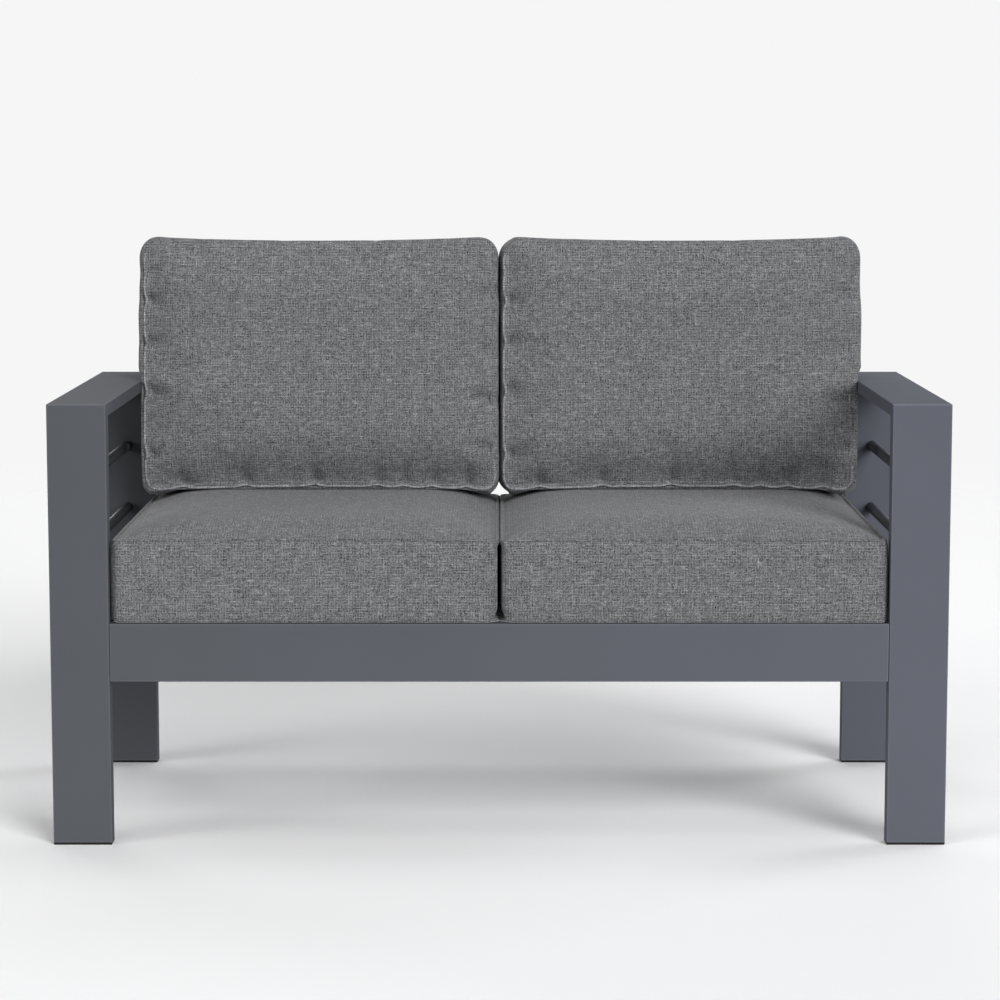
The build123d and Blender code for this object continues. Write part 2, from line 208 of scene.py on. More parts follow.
BACK_SHAPE = {
    "half_u": 286.0, "half_v": 206.2, "low_corner": (15.0, 26.0), "high_corner": (32.0, 34.0),
    "left_draw": 0.3, "right_draw": 1.0, "low_draw": 6.2, "high_draw": 6.5,
    "left_bulge": 10.5, "right_bulge": 16.5, "low_bulge": 8.0, "high_bulge": 2.4,
    "welt_lift": 0.9, "welt_sink": 3.6, "held_below": 14.5,
    "front_seam": 165.0, "rear_seam": 14.0, "front_rise": 20.0, "rear_rise": 13.5,
    "side_roll": 6.5, "low_roll": 3.6, "high_roll": 5.0,
    "left_swell": 24.0, "right_swell": 24.0, "end_swell": 16.0,
    "low_corner_draw": 15.0, "high_corner_draw": 0.0, "shoulder": 0.22, "foot_tuck": 23.0,
    "shrink": 0.14, "pressure": 4.0, "bending": 0.6, "fold_share": 0.45,
    "gather_draw": 3.8, "gather_depth": 12.5, "tuck": 0.8, "crease": 2.0,
    "lip": (0.0, 0.2, 0.3, -0.1, -1.3, -0.7, 0.0),
    "low_gathers": ((-226, 1.0), (-125, 0.8), (-12, 0.9), (88, 0.7), (131, 0.6), (180, 0.8), (235, 1.0)),
    "high_gathers": ((-190, 0.35), (-60, 0.25), (95, 0.3), (215, 0.35)),
    "left_gathers": ((145, 0.4), (105, 1.0), (35, 0.8), (-43, 0.9), (-148, 0.9)),
    "right_gathers": ((110, 0.6), (20, 0.5), (-60, 0.9), (-135, 0.7)),
}
# Where the pair meets, the left cushion swells at once and the right one falls back from its welt
BACK_INNER_SIDE = {
    "left": {"left_bulge": 13.6, "right_bulge": 7.6, "low_corner_draw": 10.0},
    "right": {"left_swell": 4.0},
}

# Places of the cushions
SEAT_PLACE_X = 291.2
SEAT_PLACE_Y = -16.0
SEAT_BOTTOM = 338.8
SEAT_SEAM_HEIGHT = 462.8
BACK_PLACE_X = 292.8
BACK_MIDDLE_V = 206.0
BACK_FOOT = np.array((0.0, 267.6, 477.0))
LEAN = math.radians(5.5)
LEAN_UP = np.array((0.0, math.sin(LEAN), math.cos(LEAN)))
LEAN_FRONT = np.array((0.0, -math.cos(LEAN), math.sin(LEAN)))

# A pair meets in a wavy plane at the middle, and each cushion stays inside its side frame
PAIR_GAP = 0.15
MEETING_WAVE = 1.2
MEETING_LENGTH = 66.0
OUTER_LIMIT = 586.1
ABOVE_ARM_ROOM = 8.5
ABOVE_ARM = (674.0, 700.0)

# The seat cushions stand apart in front of a line that runs back as it rises, below their seam
PARTING_REACH = 60
FRONT_PARTING = 3.4
FOOT_PARTING = 4.6
PARTED_AT_FOOT = -296
PARTED_AT_SEAM = -150
PARTING_SLOPE = 4
PARTING_FOOT = 341
PARTING_FADE = 9
PARTED_BELOW = (SEAT_SEAM_HEIGHT - 9, SEAT_SEAM_HEIGHT - 2)
FOOT_HEIGHTS = (SEAT_BOTTOM + 4, SEAT_BOTTOM + 24)

# The back cushions press on the seat cushions' crowns and sag beside them
PRESS_ROOM = 0.3
CORNER_SAG = 9.0
SAG_ACROSS = (225, 275)
SAG_BEHIND = (20, 60)
SAG_AHEAD = (120, 155)
SAG_UP = (4, 60)


# Node helpers
def new_material(name):
    mat = bpy.data.materials.new(name)
    mat.use_nodes = True
    nodes = mat.node_tree.nodes
    nodes.clear()
    out = nodes.new("ShaderNodeOutputMaterial")
    shader = nodes.new("ShaderNodeBsdfPrincipled")
    mat.node_tree.links.new(shader.outputs[0], out.inputs[0])
    return mat, mat.node_tree, shader


def feed(tree, socket, value):
    """Sets a socket to a number, or links it to another node's output."""
    if isinstance(value, (int, float)):
        socket.default_value = value
    else:
        tree.links.new(value, socket)


def math_node(tree, operation, a, b=None):
    node = tree.nodes.new("ShaderNodeMath")
    node.operation = operation
    feed(tree, node.inputs[0], a)
    if b is not None:
        feed(tree, node.inputs[1], b)
    return node.outputs[0]


def plus(tree, a, b):
    return math_node(tree, "ADD", a, b)


def times(tree, a, b):
    return math_node(tree, "MULTIPLY", a, b)


def whole(tree, value):
    return math_node(tree, "FLOOR", value)


def vector_node(tree, operation, a, b=None):
    """The result of a vector operation: a vector, or a number for a length or a dot product."""
    node = tree.nodes.new("ShaderNodeVectorMath")
    node.operation = operation
    tree.links.new(a, node.inputs[0])
    if b is not None:
        tree.links.new(b, node.inputs["Scale" if operation == "SCALE" else 1])
    return node.outputs["Value" if operation in ("LENGTH", "DOT_PRODUCT") else "Vector"]


def combine(tree, x, y, z=0.0):
    node = tree.nodes.new("ShaderNodeCombineXYZ")
    for socket, value in zip(node.inputs, (x, y, z)):
        feed(tree, socket, value)
    return node.outputs[0]


def separate(tree, vector):
    node = tree.nodes.new("ShaderNodeSeparateXYZ")
    tree.links.new(vector, node.inputs[0])
    return node.outputs


def noise(tree, vector, scale, detail=2.0, roughness=0.5):
    node = tree.nodes.new("ShaderNodeTexNoise")
    node.inputs["Scale"].default_value = scale
    node.inputs["Detail"].default_value = detail
    node.inputs["Roughness"].default_value = roughness
    tree.links.new(vector, node.inputs["Vector"])
    return node.outputs["Fac"]


def cell_noise(tree, x, y, seed):
    """One random number for each cell of a grid."""
    node = tree.nodes.new("ShaderNodeTexWhiteNoise")
    node.noise_dimensions = "3D"
    tree.links.new(combine(tree, x, y, seed), node.inputs["Vector"])
    return node.outputs["Value"]


def ramp(tree, value, dark, light, low=0.3, high=0.7):
    """A colour that goes from dark to light while the value goes from low to high."""
    node = tree.nodes.new("ShaderNodeValToRGB")
    stops = ((low, dark), (high, light))
    for element, (place, colour) in zip(node.color_ramp.elements, stops):
        element.position = place
        element.color = (*colour, 1.0)
    tree.links.new(value, node.inputs[0])
    return node.outputs[0]


def mix_value(tree, share, a, b):
    node = tree.nodes.new("ShaderNodeMix")
    node.data_type = "FLOAT"
    for number, value in ((0, share), (2, a), (3, b)):
        feed(tree, node.inputs[number], value)
    return node.outputs[0]


def mix_shaders(tree, share, a, b):
    node = tree.nodes.new("ShaderNodeMixShader")
    for socket, value in zip(node.inputs, (share, a, b)):
        tree.links.new(value, socket)
    return node.outputs[0]


def lifted(tree, value, low, high, top, bottom=0.0):
    """Maps the range from low to high onto the range from bottom to top."""
    node = tree.nodes.new("ShaderNodeMapRange")
    for name, number in (("From Min", low), ("From Max", high), ("To Min", bottom), ("To Max", top)):
        node.inputs[name].default_value = number
    tree.links.new(value, node.inputs["Value"])
    return node.outputs[0]


def object_coords(tree):
    node = tree.nodes.new("ShaderNodeTexCoord")
    return node.outputs["Object"], node.outputs["Normal"]


def bump(tree, height, distance, strength):
    node = tree.nodes.new("ShaderNodeBump")
    node.inputs["Strength"].default_value = strength
    node.inputs["Distance"].default_value = distance
    tree.links.new(height, node.inputs["Height"])
    return node.outputs[0]


def surface(tree, shader, colour, rough, normal):
    for name, value in (("Base Color", colour), ("Roughness", rough), ("Normal", normal)):
        tree.links.new(value, shader.inputs[name])


def grey(level):
    return (level, level, level)


# Materials
def edge_share(tree, radius):
    """1 at a sharp or worn edge, 0 on a flat face."""
    soft = tree.nodes.new("ShaderNodeBevel")
    soft.samples = 4
    soft.inputs["Radius"].default_value = radius
    plain = tree.nodes.new("ShaderNodeNewGeometry")
    alike = vector_node(tree, "DOT_PRODUCT", soft.outputs[0], plain.outputs["Normal"])
    return lifted(tree, alike, low=EDGE_ALIKE, high=1.0, top=0.0, bottom=1.0)


def powder_coat(name, level=1.0, polish=0.0):
    """Slate grey powder coat with a fine orange peel, a little lighter along its edges from wear and a
    painted highlight, with painted shade toward its left end.
    """
    mat, tree, shader = new_material(name)
    place, _ = object_coords(tree)
    speckle = noise(tree, place, scale=900.0, detail=1.0)
    tone = mix_value(tree, COAT_SPECKLE, noise(tree, place, scale=3.0, detail=3.0), speckle)
    # Painted light: the coat goes from a darker, plainer slate on the left to a lighter, bluer one on the
    # right, as light falls from the right
    across = lifted(tree, separate(tree, place)[0], -SIDE_SHADE_REACH, SIDE_SHADE_REACH, top=1.0)
    painted_side_shade = ramp(tree, across, COAT_LEFT_SHADE_TINT, WHITE, low=0.0, high=1.0)
    coat = vector_node(tree, "MULTIPLY", ramp(tree, tone, COAT_DARK, COAT_LIGHT), painted_side_shade)
    # The edges are lighter and smoother, partly from wear and partly as a painted highlight
    uneven = mix_value(tree, noise(tree, place, scale=60.0), EDGE_WEAR_AND_GLINT_LEAST, 1.0)
    wear_and_glint = times(tree, edge_share(tree, EDGE_WEAR_AND_GLINT_RADIUS), uneven)
    colour = vector_node(tree, "SCALE", coat, mix_value(tree, wear_and_glint, level, level * EDGE_WEAR_AND_GLINT_GAIN))
    smooth, rough = (value - polish for value in COAT_ROUGHNESS)
    smoother = times(tree, wear_and_glint, WORN_SMOOTHER)
    roughness = math_node(tree, "SUBTRACT", mix_value(tree, speckle, smooth, rough), smoother)
    peel = noise(tree, place, scale=650.0)
    surface(tree, shader, colour, roughness, bump(tree, peel, distance=0.00012, strength=0.35))
    shader.inputs["Specular IOR Level"].default_value = COAT_GLOSS + POLISH_GLOSS * polish
    return mat


def black_plastic():
    """Moulded foot caps with a fine matt grain."""
    mat, tree, shader = new_material("foot_cap_black")
    place, _ = object_coords(tree)
    grain = noise(tree, place, scale=1200.0)
    colour = ramp(tree, grain, dark=grey(0.008), light=grey(0.016))
    rough = mix_value(tree, grain, 0.6, 0.8)
    surface(tree, shader, colour, rough, bump(tree, grain, distance=0.0001, strength=0.4))
    shader.inputs["Specular IOR Level"].default_value = 0.12
    return mat


def plated_steel():
    """Zinc-plated bolts, washers and rivet nuts."""
    mat, tree, shader = new_material("plated_fastener")
    place, _ = object_coords(tree)
    brushed = noise(tree, place, scale=500.0, detail=3.0)
    colour = ramp(tree, brushed, dark=grey(0.42), light=(0.56, 0.56, 0.55))
    rough = mix_value(tree, brushed, 0.28, 0.42)
    surface(tree, shader, colour, rough, bump(tree, brushed, distance=0.00005, strength=0.3))
    shader.inputs["Metallic"].default_value = 1.0
    return mat


def cloth_plane(tree):
    """Two coordinates along the cloth, picked by the side that the surface faces."""
    place, normal = object_coords(tree)
    x, y, z = separate(tree, place)
    nx, _, nz = separate(tree, normal)
    facing_side = math_node(tree, "GREATER_THAN", math_node(tree, "ABSOLUTE", nx), SIDE_FACING)
    facing_top = math_node(tree, "GREATER_THAN", math_node(tree, "ABSOLUTE", nz), TOP_FACING)
    return mix_value(tree, facing_side, x, y), mix_value(tree, facing_top, z, y)


def by_turns(tree, count):
    """0 and 1 by turns along a row of whole numbers."""
    return math_node(tree, "MODULO", math_node(tree, "ABSOLUTE", count), 2.0)


def thread_round(tree, place):
    """0 at a thread's edges and 1 along its middle."""
    return math_node(tree, "SINE", times(tree, math_node(tree, "FRACT", place), math.pi))


def streaks(tree, thread, along, seed, strength):
    """Light runs and short slubs along one set of threads."""
    spot = combine(tree, times(tree, thread, THREAD_STEP), times(tree, along, RUN_SCALE), seed)
    run = noise(tree, spot, scale=1.0, detail=1.0, roughness=0.6)
    run = lifted(tree, run, low=0.5, high=0.85, top=strength)
    pair = whole(tree, times(tree, thread, 0.5))
    spot = combine(tree, times(tree, pair, PAIR_STEP), times(tree, along, SLUB_SCALE), seed + SLUB_SEED)
    slub = noise(tree, spot, scale=1.0, detail=0.0, roughness=0.6)
    slub = lifted(tree, slub, low=0.66, high=0.84, top=strength * SLUB_SHARE)
    return plus(tree, run, slub)


def hatch(tree, thread, along, across, seed):
    """Every other thread a shade lighter, in patches, as thick and thin threads lie side by side."""
    odd = math_node(tree, "SUBTRACT", by_turns(tree, thread), 0.5)
    stretched = times(tree, across, HATCH_PATCH * HATCH_STRETCH)
    spot = combine(tree, times(tree, along, HATCH_PATCH), stretched, seed)
    patch = lifted(tree, noise(tree, spot, scale=1.0, detail=1.0), low=0.36, high=0.70, top=HATCH)
    return times(tree, odd, patch)


def melange_weave(name, level):
    """A plain weave of thick and thin slub threads in several greys."""
    mat, tree, shader = new_material(name)
    u, v = cloth_plane(tree)
    across = math_node(tree, "DIVIDE", u, THREAD_PITCH * MM)
    along = math_node(tree, "DIVIDE", v, THREAD_PITCH * MM)
    warp = whole(tree, across)
    weft = whole(tree, along)
    over = by_turns(tree, plus(tree, warp, weft))
    height = mix_value(tree, over, thread_round(tree, along), thread_round(tree, across))
    # Each crossing and each ply has its own grey, and light runs lie along both sets of threads
    ply_x = whole(tree, times(tree, across, PLIES))
    ply_y = whole(tree, times(tree, along, PLIES))
    tone = times(tree, cell_noise(tree, warp, weft, SEEDS["crossing"]), CROSSING_SPREAD)
    tone = plus(tree, tone, BASE_TONE)
    tone = plus(tree, tone, times(tree, cell_noise(tree, ply_x, ply_y, SEEDS["ply"]), PLY_SPREAD))
    tone = plus(tree, tone, streaks(tree, ply_y, u, SEEDS["weft"], WEFT_STREAKS))
    tone = plus(tree, tone, streaks(tree, ply_x, v, SEEDS["warp"], WARP_STREAKS))
    tone = plus(tree, tone, hatch(tree, weft, u, v, SEEDS["weft_hatch"]))
    tone = plus(tree, tone, hatch(tree, warp, v, u, SEEDS["warp_hatch"]))
    cloud = noise(tree, combine(tree, u, v), scale=45.0)
    cloud = lifted(tree, cloud, low=0.3, high=0.7, top=1.03, bottom=0.97)
    tone = times(tree, times(tree, tone, cloud), level)
    # Painted shade: darker in the gaps between threads
    tone = times(tree, tone, mix_value(tree, height, THREAD_GAP_SHADE, 1.0))
    colour = tree.nodes.new("ShaderNodeCombineColor")
    for channel, amount in enumerate(CLOTH_TINT):
        tree.links.new(times(tree, tone, amount), colour.inputs[channel])
    fuzz = noise(tree, combine(tree, u, v), scale=2600.0, detail=1.0)
    rough = mix_value(tree, fuzz, 0.82, 0.98)
    normal = bump(tree, height, distance=THREAD_HEIGHT, strength=0.4)
    surface(tree, shader, colour.outputs[0], rough, normal)
    shader.inputs["Specular IOR Level"].default_value = 0.15
    shader.inputs["Sheen Weight"].default_value = 0.10
    shader.inputs["Sheen Roughness"].default_value = 0.5
    return mat


def sewing_thread():
    """Twisted thread a little lighter than the cloth."""
    mat, tree, shader = new_material("sewing_thread")
    place, _ = object_coords(tree)
    twist = noise(tree, place, scale=1500.0, detail=1.0)
    colour = ramp(tree, twist, dark=grey(0.14), light=grey(0.32))
    rough = mix_value(tree, twist, 0.6, 0.8)
    surface(tree, shader, colour, rough, bump(tree, twist, distance=0.0002, strength=0.4))
    return mat


def plainly_seen(tree):
    """1 for rays that show a surface, straight on, mirrored or through glass, and 0 for scattered light."""
    paths = tree.nodes.new("ShaderNodeLightPath")
    seen = math_node(tree, "MAXIMUM", paths.outputs["Is Camera Ray"], paths.outputs["Is Glossy Ray"])
    return math_node(tree, "MAXIMUM", seen, paths.outputs["Is Transmission Ray"])


def floor_material():
    """A pale floor that keeps its shadows and melts into the backdrop farther off."""
    mat, tree, shader = new_material("studio_floor")
    place, _ = object_coords(tree)
    cloud = noise(tree, place, scale=0.6)
    tone = ramp(tree, cloud, dark=grey(FLOOR_TONE), light=grey(FLOOR_TONE * FLOOR_CLOUD))
    level = mix_value(tree, plainly_seen(tree), FLOOR_BOUNCE, 1.0)
    tree.links.new(vector_node(tree, "SCALE", tone, level), shader.inputs["Base Color"])
    shader.inputs["Roughness"].default_value = 1.0
    shader.inputs["Specular IOR Level"].default_value = 0.0
    fade = lifted(tree, vector_node(tree, "LENGTH", place), FLOOR_FADE_START, FLOOR_FADE_END, top=1.0)
    clear = tree.nodes.new("ShaderNodeBsdfTransparent")
    melted = mix_shaders(tree, fade, shader.outputs[0], clear.outputs[0])
    tree.links.new(melted, tree.nodes["Material Output"].inputs[0])
    return mat


# Meshes
def make_mesh(name, verts, faces, smooth=True):
    mesh = bpy.data.meshes.new(name)
    mesh.from_pydata([tuple(v) for v in verts], [], [tuple(int(i) for i in f) for f in faces])
    mesh.validate()
    mesh.update()
    if smooth:
        mesh.shade_smooth()
    obj = bpy.data.objects.new(name, mesh)
    bpy.context.scene.collection.objects.link(obj)
    return obj


def get_points(mesh):
    data = np.zeros(len(mesh.vertices) * 3)
    mesh.vertices.foreach_get("co", data)
    return data.reshape(-1, 3)


def get_edges(mesh):
    data = np.zeros(len(mesh.edges) * 2, dtype=int)
    mesh.edges.foreach_get("vertices", data)
    return data.reshape(-1, 2)


def set_points(obj, points):
    obj.data.vertices.foreach_set("co", np.asarray(points, float).ravel())
    obj.data.update()


def evaluated_mesh(obj):
    bpy.context.view_layer.update()
    graph = bpy.context.evaluated_depsgraph_get()
    return bpy.data.meshes.new_from_object(obj.evaluated_get(graph))


def subdivide(obj):
    """Applies one round of subdivision."""
    mod = obj.modifiers.new("subdivision", "SUBSURF")
    mod.levels = 1
    mod.render_levels = 1
    mesh = evaluated_mesh(obj)
    obj.modifiers.clear()
    old = obj.data
    obj.data = mesh
    bpy.data.meshes.remove(old)
    obj.data.shade_smooth()


def smoothed(field, edges, rounds):
    """A field on the mesh, averaged with its neighbours a number of times."""
    count = np.zeros(len(field))
    np.add.at(count, edges.ravel(), 1)
    for _ in range(rounds):
        total = field * 1.0
        np.add.at(total, edges[:, 0], field[edges[:, 1]])
        np.add.at(total, edges[:, 1], field[edges[:, 0]])
        field = total / (count + 1)[:, None]
    return field


def smooth_step(value, low, high):
    t = np.clip((value - low) / (high - low), 0, 1)
    return t * t * (3 - 2 * t)


# Closed paths
def loop_places(loop):
    """The place of each point along a closed loop, and the loop's length."""
    steps = np.linalg.norm(np.roll(loop, -1, 0) - loop, axis=1)
    return np.concatenate(([0.0], np.cumsum(steps[:-1]))), steps.sum()


def nearest_on_loop(points, loop):
    """For each point its distance to the loop and the place along it, with the loop's length."""
    s, total = loop_places(loop)
    s_next = np.append(s[1:], total)
    nxt = np.roll(loop, -1, 0)
    best = np.full(len(points), FAR)
    place = np.zeros(len(points))
    for k in range(len(loop)):
        edge = nxt[k] - loop[k]
        t = np.clip((points - loop[k]) @ edge / (edge @ edge), 0, 1)
        gap = np.linalg.norm(points - (loop[k] + t[:, None] * edge), axis=1)
        closer = gap < best
        best[closer] = gap[closer]
        place[closer] = (s[k] + t * (s_next[k] - s[k]))[closer]
    return best, place, total


def resample(path, step):
    """A closed path with its points at even steps."""
    pts = np.vstack((path, path[:1]))
    s = np.concatenate(([0.0], np.cumsum(np.linalg.norm(np.diff(pts, axis=0), axis=1))))
    at = np.linspace(0, s[-1], int(s[-1] / step), endpoint=False)
    return np.stack([np.interp(at, s, pts[:, k]) for k in range(3)], -1)


def smooth_loop(path):
    return (np.roll(path, 1, 0) + 2 * path + np.roll(path, -1, 0)) / 4


def tube(name, path, radius, finish):
    """A tube of that radius along a closed path, in metres."""
    n = len(path)
    tangent = np.roll(path, -1, 0) - np.roll(path, 1, 0)
    tangent /= np.linalg.norm(tangent, axis=1)[:, None]
    side = np.cross(tangent, np.array(TUBE_AXIS))
    side /= np.linalg.norm(side, axis=1)[:, None]
    top = np.cross(side, tangent)
    rounds = []
    for k in range(TUBE_SIDES):
        turn = 2 * math.pi * k / TUBE_SIDES
        rounds.append(path + (side * math.cos(turn) + top * math.sin(turn)) * radius)
    verts = np.stack(rounds, 1).reshape(-1, 3)
    faces = []
    for i in range(n):
        low = i * TUBE_SIDES
        high = (i + 1) % n * TUBE_SIDES
        for k in range(TUBE_SIDES):
            m = (k + 1) % TUBE_SIDES
            faces.append((low + k, low + m, high + m, high + k))
    obj = make_mesh(name, verts, faces)
    obj.data.materials.append(finish)
    return obj


def stitch_points(a, b, lift):
    """The rings of one stitch from a to b, thick between its two ends."""
    along = (b - a) / np.linalg.norm(b - a)
    side = np.cross(along, lift)
    points = []
    for share, size in STITCH_PROFILE:
        middle = a + (b - a) * share + lift * STITCH_RADIUS * (size - STITCH_SUNK)
        for k in range(STITCH_SIDES):
            turn = 2 * math.pi * k / STITCH_SIDES
            ring = side * math.cos(turn) + lift * math.sin(turn)
            points.append(middle + ring * STITCH_RADIUS * size)
    return points


def stitch_faces(base):
    """The faces of one stitch whose first point has that number."""
    faces = []
    rows = len(STITCH_PROFILE) - 1
    for row in range(rows):
        low = base + row * STITCH_SIDES
        high = low + STITCH_SIDES
        for k in range(STITCH_SIDES):
            m = (k + 1) % STITCH_SIDES
            faces.append((low + k, low + m, high + m, high + k))
    faces.append(tuple(base + k for k in reversed(range(STITCH_SIDES))))
    faces.append(tuple(base + rows * STITCH_SIDES + k for k in range(STITCH_SIDES)))
    return faces


def stitches(name, path, lift, finish):
    """A row of short stitches along a closed path, each a small rounded bar."""
    fine = resample(path, FINE_STEP)
    verts = []
    faces = []
    for number in range(int(len(fine) * FINE_STEP / STITCH_PITCH)):
        start = int(number * STITCH_PITCH / FINE_STEP)
        end = min(start + int(STITCH_LENGTH / FINE_STEP), len(fine) - 1)
        faces += stitch_faces(len(verts))
        verts += stitch_points(fine[start], fine[end], lift)
    obj = make_mesh(name, np.array(verts) * MM, faces)
    obj.data.materials.append(finish)
    return obj


# The sewn form of a cushion, before the cloth settles
def spaced(length):
    """Places along a side, close together beside the seams."""
    near = np.array(SEAM_SPACING)
    start = near[-1]
    middle = length - 2 * start
    count = max(2, round(middle / PANEL_SPACING))
    inner = start + middle * np.arange(1, count) / count
    return np.concatenate((near, inner, length - near[::-1])) - length / 2


def boxing_levels(depth):
    """Places through the boxing, close together beside both seams."""
    near = np.array(SEAM_SPACING[:BOXING_SPACINGS])
    middle = max(2, round((depth - 2 * near[-1]) / RING_SPACING))
    inner = near[-1] + (depth - 2 * near[-1]) * np.arange(1, middle) / middle
    return np.concatenate((near[1:], inner, depth - near[:0:-1]))


def rounded(x, y, shape):
    """Moves the points of a rectangle's corner squares into quarter ellipses."""
    half_u, half_v = shape["half_u"], shape["half_v"]
    wide = np.where(y < 0, shape["low_corner"][0], shape["high_corner"][0])
    tall = np.where(y < 0, shape["low_corner"][1], shape["high_corner"][1])
    sx = (np.abs(x) - (half_u - wide)) / wide
    sy = (np.abs(y) - (half_v - tall)) / tall
    inside = (sx > 0) & (sy > 0)
    sx = np.clip(sx, 0, 1)
    sy = np.clip(sy, 0, 1)
    rx = sx * np.sqrt(1 - sy * sy / 2)
    ry = sy * np.sqrt(1 - sx * sx / 2)
    new_x = np.where(inside, np.sign(x) * (half_u - wide + wide * rx), x)
    new_y = np.where(inside, np.sign(y) * (half_v - tall + tall * ry), y)
    return new_x, new_y


def drawn_in(x, y, shape):
    """Pulls the sides in between the corners."""
    half_u, half_v = shape["half_u"], shape["half_v"]
    side = np.where(x < 0, shape["left_draw"], shape["right_draw"])
    end = np.where(y < 0, shape["low_draw"], shape["high_draw"])
    new_x = x * (1 - side / half_u * (1 - (y / half_v) ** 2))
    new_y = y * (1 - end / half_v * (1 - (x / half_u) ** 2))
    return new_x, new_y


def panel_grid(shape):
    """A panel's points across and up as a grid, and the share of the crown's rise at each."""
    us = spaced(2 * shape["half_u"])
    vs = spaced(2 * shape["half_v"])
    x, y = np.meshgrid(us, vs, indexing="ij")
    x, y = rounded(x, y, shape)
    x, y = drawn_in(x, y, shape)
    p = np.abs(us / shape["half_u"])[:, None]
    q = np.abs(vs / shape["half_v"])[None, :]
    roll = np.where(vs < 0, shape["low_roll"], shape["high_roll"])[None, :]
    return x, y, (1 - p ** shape["side_roll"]) * (1 - q ** roll)


def ring_places(nu, nv, inset=0):
    """The grid's places round its edge, or some rows inside it, counter-clockwise from the front."""
    left, right = inset, nu - 1 - inset
    low, high = inset, nv - 1 - inset
    ring = [(i, low) for i in range(left, right + 1)]
    ring += [(right, j) for j in range(low + 1, high + 1)]
    ring += [(i, high) for i in range(right - 1, left - 1, -1)]
    ring += [(left, j) for j in range(high - 1, low, -1)]
    return ring


def boxing_swell(shape, seam):
    """Along the seam: the way out, how far the boxing swells, and how soon it is at its fullest."""
    tangent = np.roll(seam, -1, 0) - np.roll(seam, 1, 0)
    tangent /= np.linalg.norm(tangent, axis=1)[:, None]
    outward = np.stack((tangent[:, 1], -tangent[:, 0]), -1)
    ox, oy = outward[:, 0], outward[:, 1]
    swell_u = np.where(ox < 0, shape["left_bulge"], shape["right_bulge"]) * np.abs(ox)
    swell_v = np.where(oy < 0, shape["low_bulge"], shape["high_bulge"]) * np.abs(oy)
    start, end = (shape["half_v"] - reach for reach in SHOULDER_RANGE)
    swell_u = swell_u * (1 - shape["shoulder"] * smooth_step(seam[:, 1], start, end))
    corner = np.where(oy < 0, shape["low_corner_draw"], shape["high_corner_draw"])
    bulge = swell_u + swell_v - corner * np.abs(2 * ox * oy)
    inner = np.where(ox > 0.5, shape["right_swell"], shape["end_swell"])
    return outward, bulge, np.where(ox < -0.5, shape["left_swell"], inner)


def panel_faces(front, rear):
    """The faces of both panels from the numbers of their points."""
    faces = []
    for i in range(front.shape[0] - 1):
        for j in range(front.shape[1] - 1):
            faces.append((front[i, j], front[i + 1, j], front[i + 1, j + 1], front[i, j + 1]))
            faces.append((rear[i, j], rear[i, j + 1], rear[i + 1, j + 1], rear[i + 1, j]))
    return faces


def cushion_form(shape):
    """Points and faces of two panels and the boxing between them, with the loops that are sewn."""
    x, y, crown = panel_grid(shape)
    front = np.arange(x.size).reshape(x.shape)
    rear = front + x.size
    high = shape["front_seam"] + shape["front_rise"] * crown
    low = shape["rear_seam"] - shape["rear_rise"] * crown
    points = [np.stack((x, y, level), -1).reshape(-1, 3) for level in (high, low)]
    faces = panel_faces(front, rear)
    ring = ring_places(*x.shape)
    seam = np.array([(x[place], y[place]) for place in ring])
    outward, bulge, sharp = boxing_swell(shape, seam)
    depth = shape["front_seam"] - shape["rear_seam"]
    count = 2 * x.size
    rows = [[rear[place] for place in ring]]
    for level in boxing_levels(depth):
        swell = 1 - np.abs(2 * level / depth - 1) ** sharp
        xy = seam + outward * (bulge * swell)[:, None]
        points.append(np.column_stack((xy, np.full(len(ring), shape["rear_seam"] + level))))
        rows.append(list(range(count, count + len(ring))))
        count += len(ring)
    rows.append([front[place] for place in ring])
    for below, above in zip(rows, rows[1:]):
        for k in range(len(ring)):
            m = (k + 1) % len(ring)
            faces.append((below[k], below[m], above[m], above[k]))
    inset = [front[place] for place in ring_places(*x.shape, STITCH_ROW)]
    loops = {"front": np.array(rows[-1]), "rear": np.array(rows[0]), "inset": np.array(inset)}
    return np.concatenate(points), faces, loops


# Gathers and relief along the front seam
def gather_places(shape, seam):
    """The named gathers of a shape, each as its place along the seam and its strength."""
    s, _ = loop_places(seam)
    half_u, half_v = shape["half_u"], shape["half_v"]
    found = [((u, -half_v), strength) for u, strength in shape["low_gathers"]]
    found += [((u, half_v), strength) for u, strength in shape["high_gathers"]]
    found += [((-half_u, v), strength) for v, strength in shape["left_gathers"]]
    found += [((half_u, v), strength) for v, strength in shape["right_gathers"]]
    return [(s[np.argmin(np.linalg.norm(seam[:, :2] - spot, axis=1))], strength) for spot, strength in found]


def bunched(place, total, gathers, width):
    """How much the cloth is bunched at each place along a seam."""
    pull = np.zeros(len(place))
    for at, strength in gathers:
        gap = np.abs((place - at + total / 2) % total - total / 2)
        pull += strength * np.exp(-(gap / width) ** 2)
    return pull


def turned_in(points, shape):
    """1 along the right side and the top of a panel, 0 along its left side and foot."""
    half_u, half_v = shape["half_u"], shape["half_v"]
    right = smooth_step(points[:, 0], half_u - TURNED_FROM, half_u - TURNED_FULLY)
    top = smooth_step(points[:, 1], half_v - TURNED_FROM, half_v - TURNED_FULLY)
    above = smooth_step(points[:, 1], -half_v + TURNED_FULLY, -half_v + TURNED_ABOVE_FOOT)
    return np.maximum(right, top) * above


def toward_middle(points, shape):
    """From each point the way in from the side that it lies nearest to."""
    by_side = shape["half_u"] - np.abs(points[:, 0]) < shape["half_v"] - np.abs(points[:, 1])
    toward = np.zeros_like(points)
    toward[:, 0] = np.where(by_side, -np.sign(points[:, 0]), 0)
    toward[:, 1] = np.where(by_side, 0, -np.sign(points[:, 1]))
    return toward


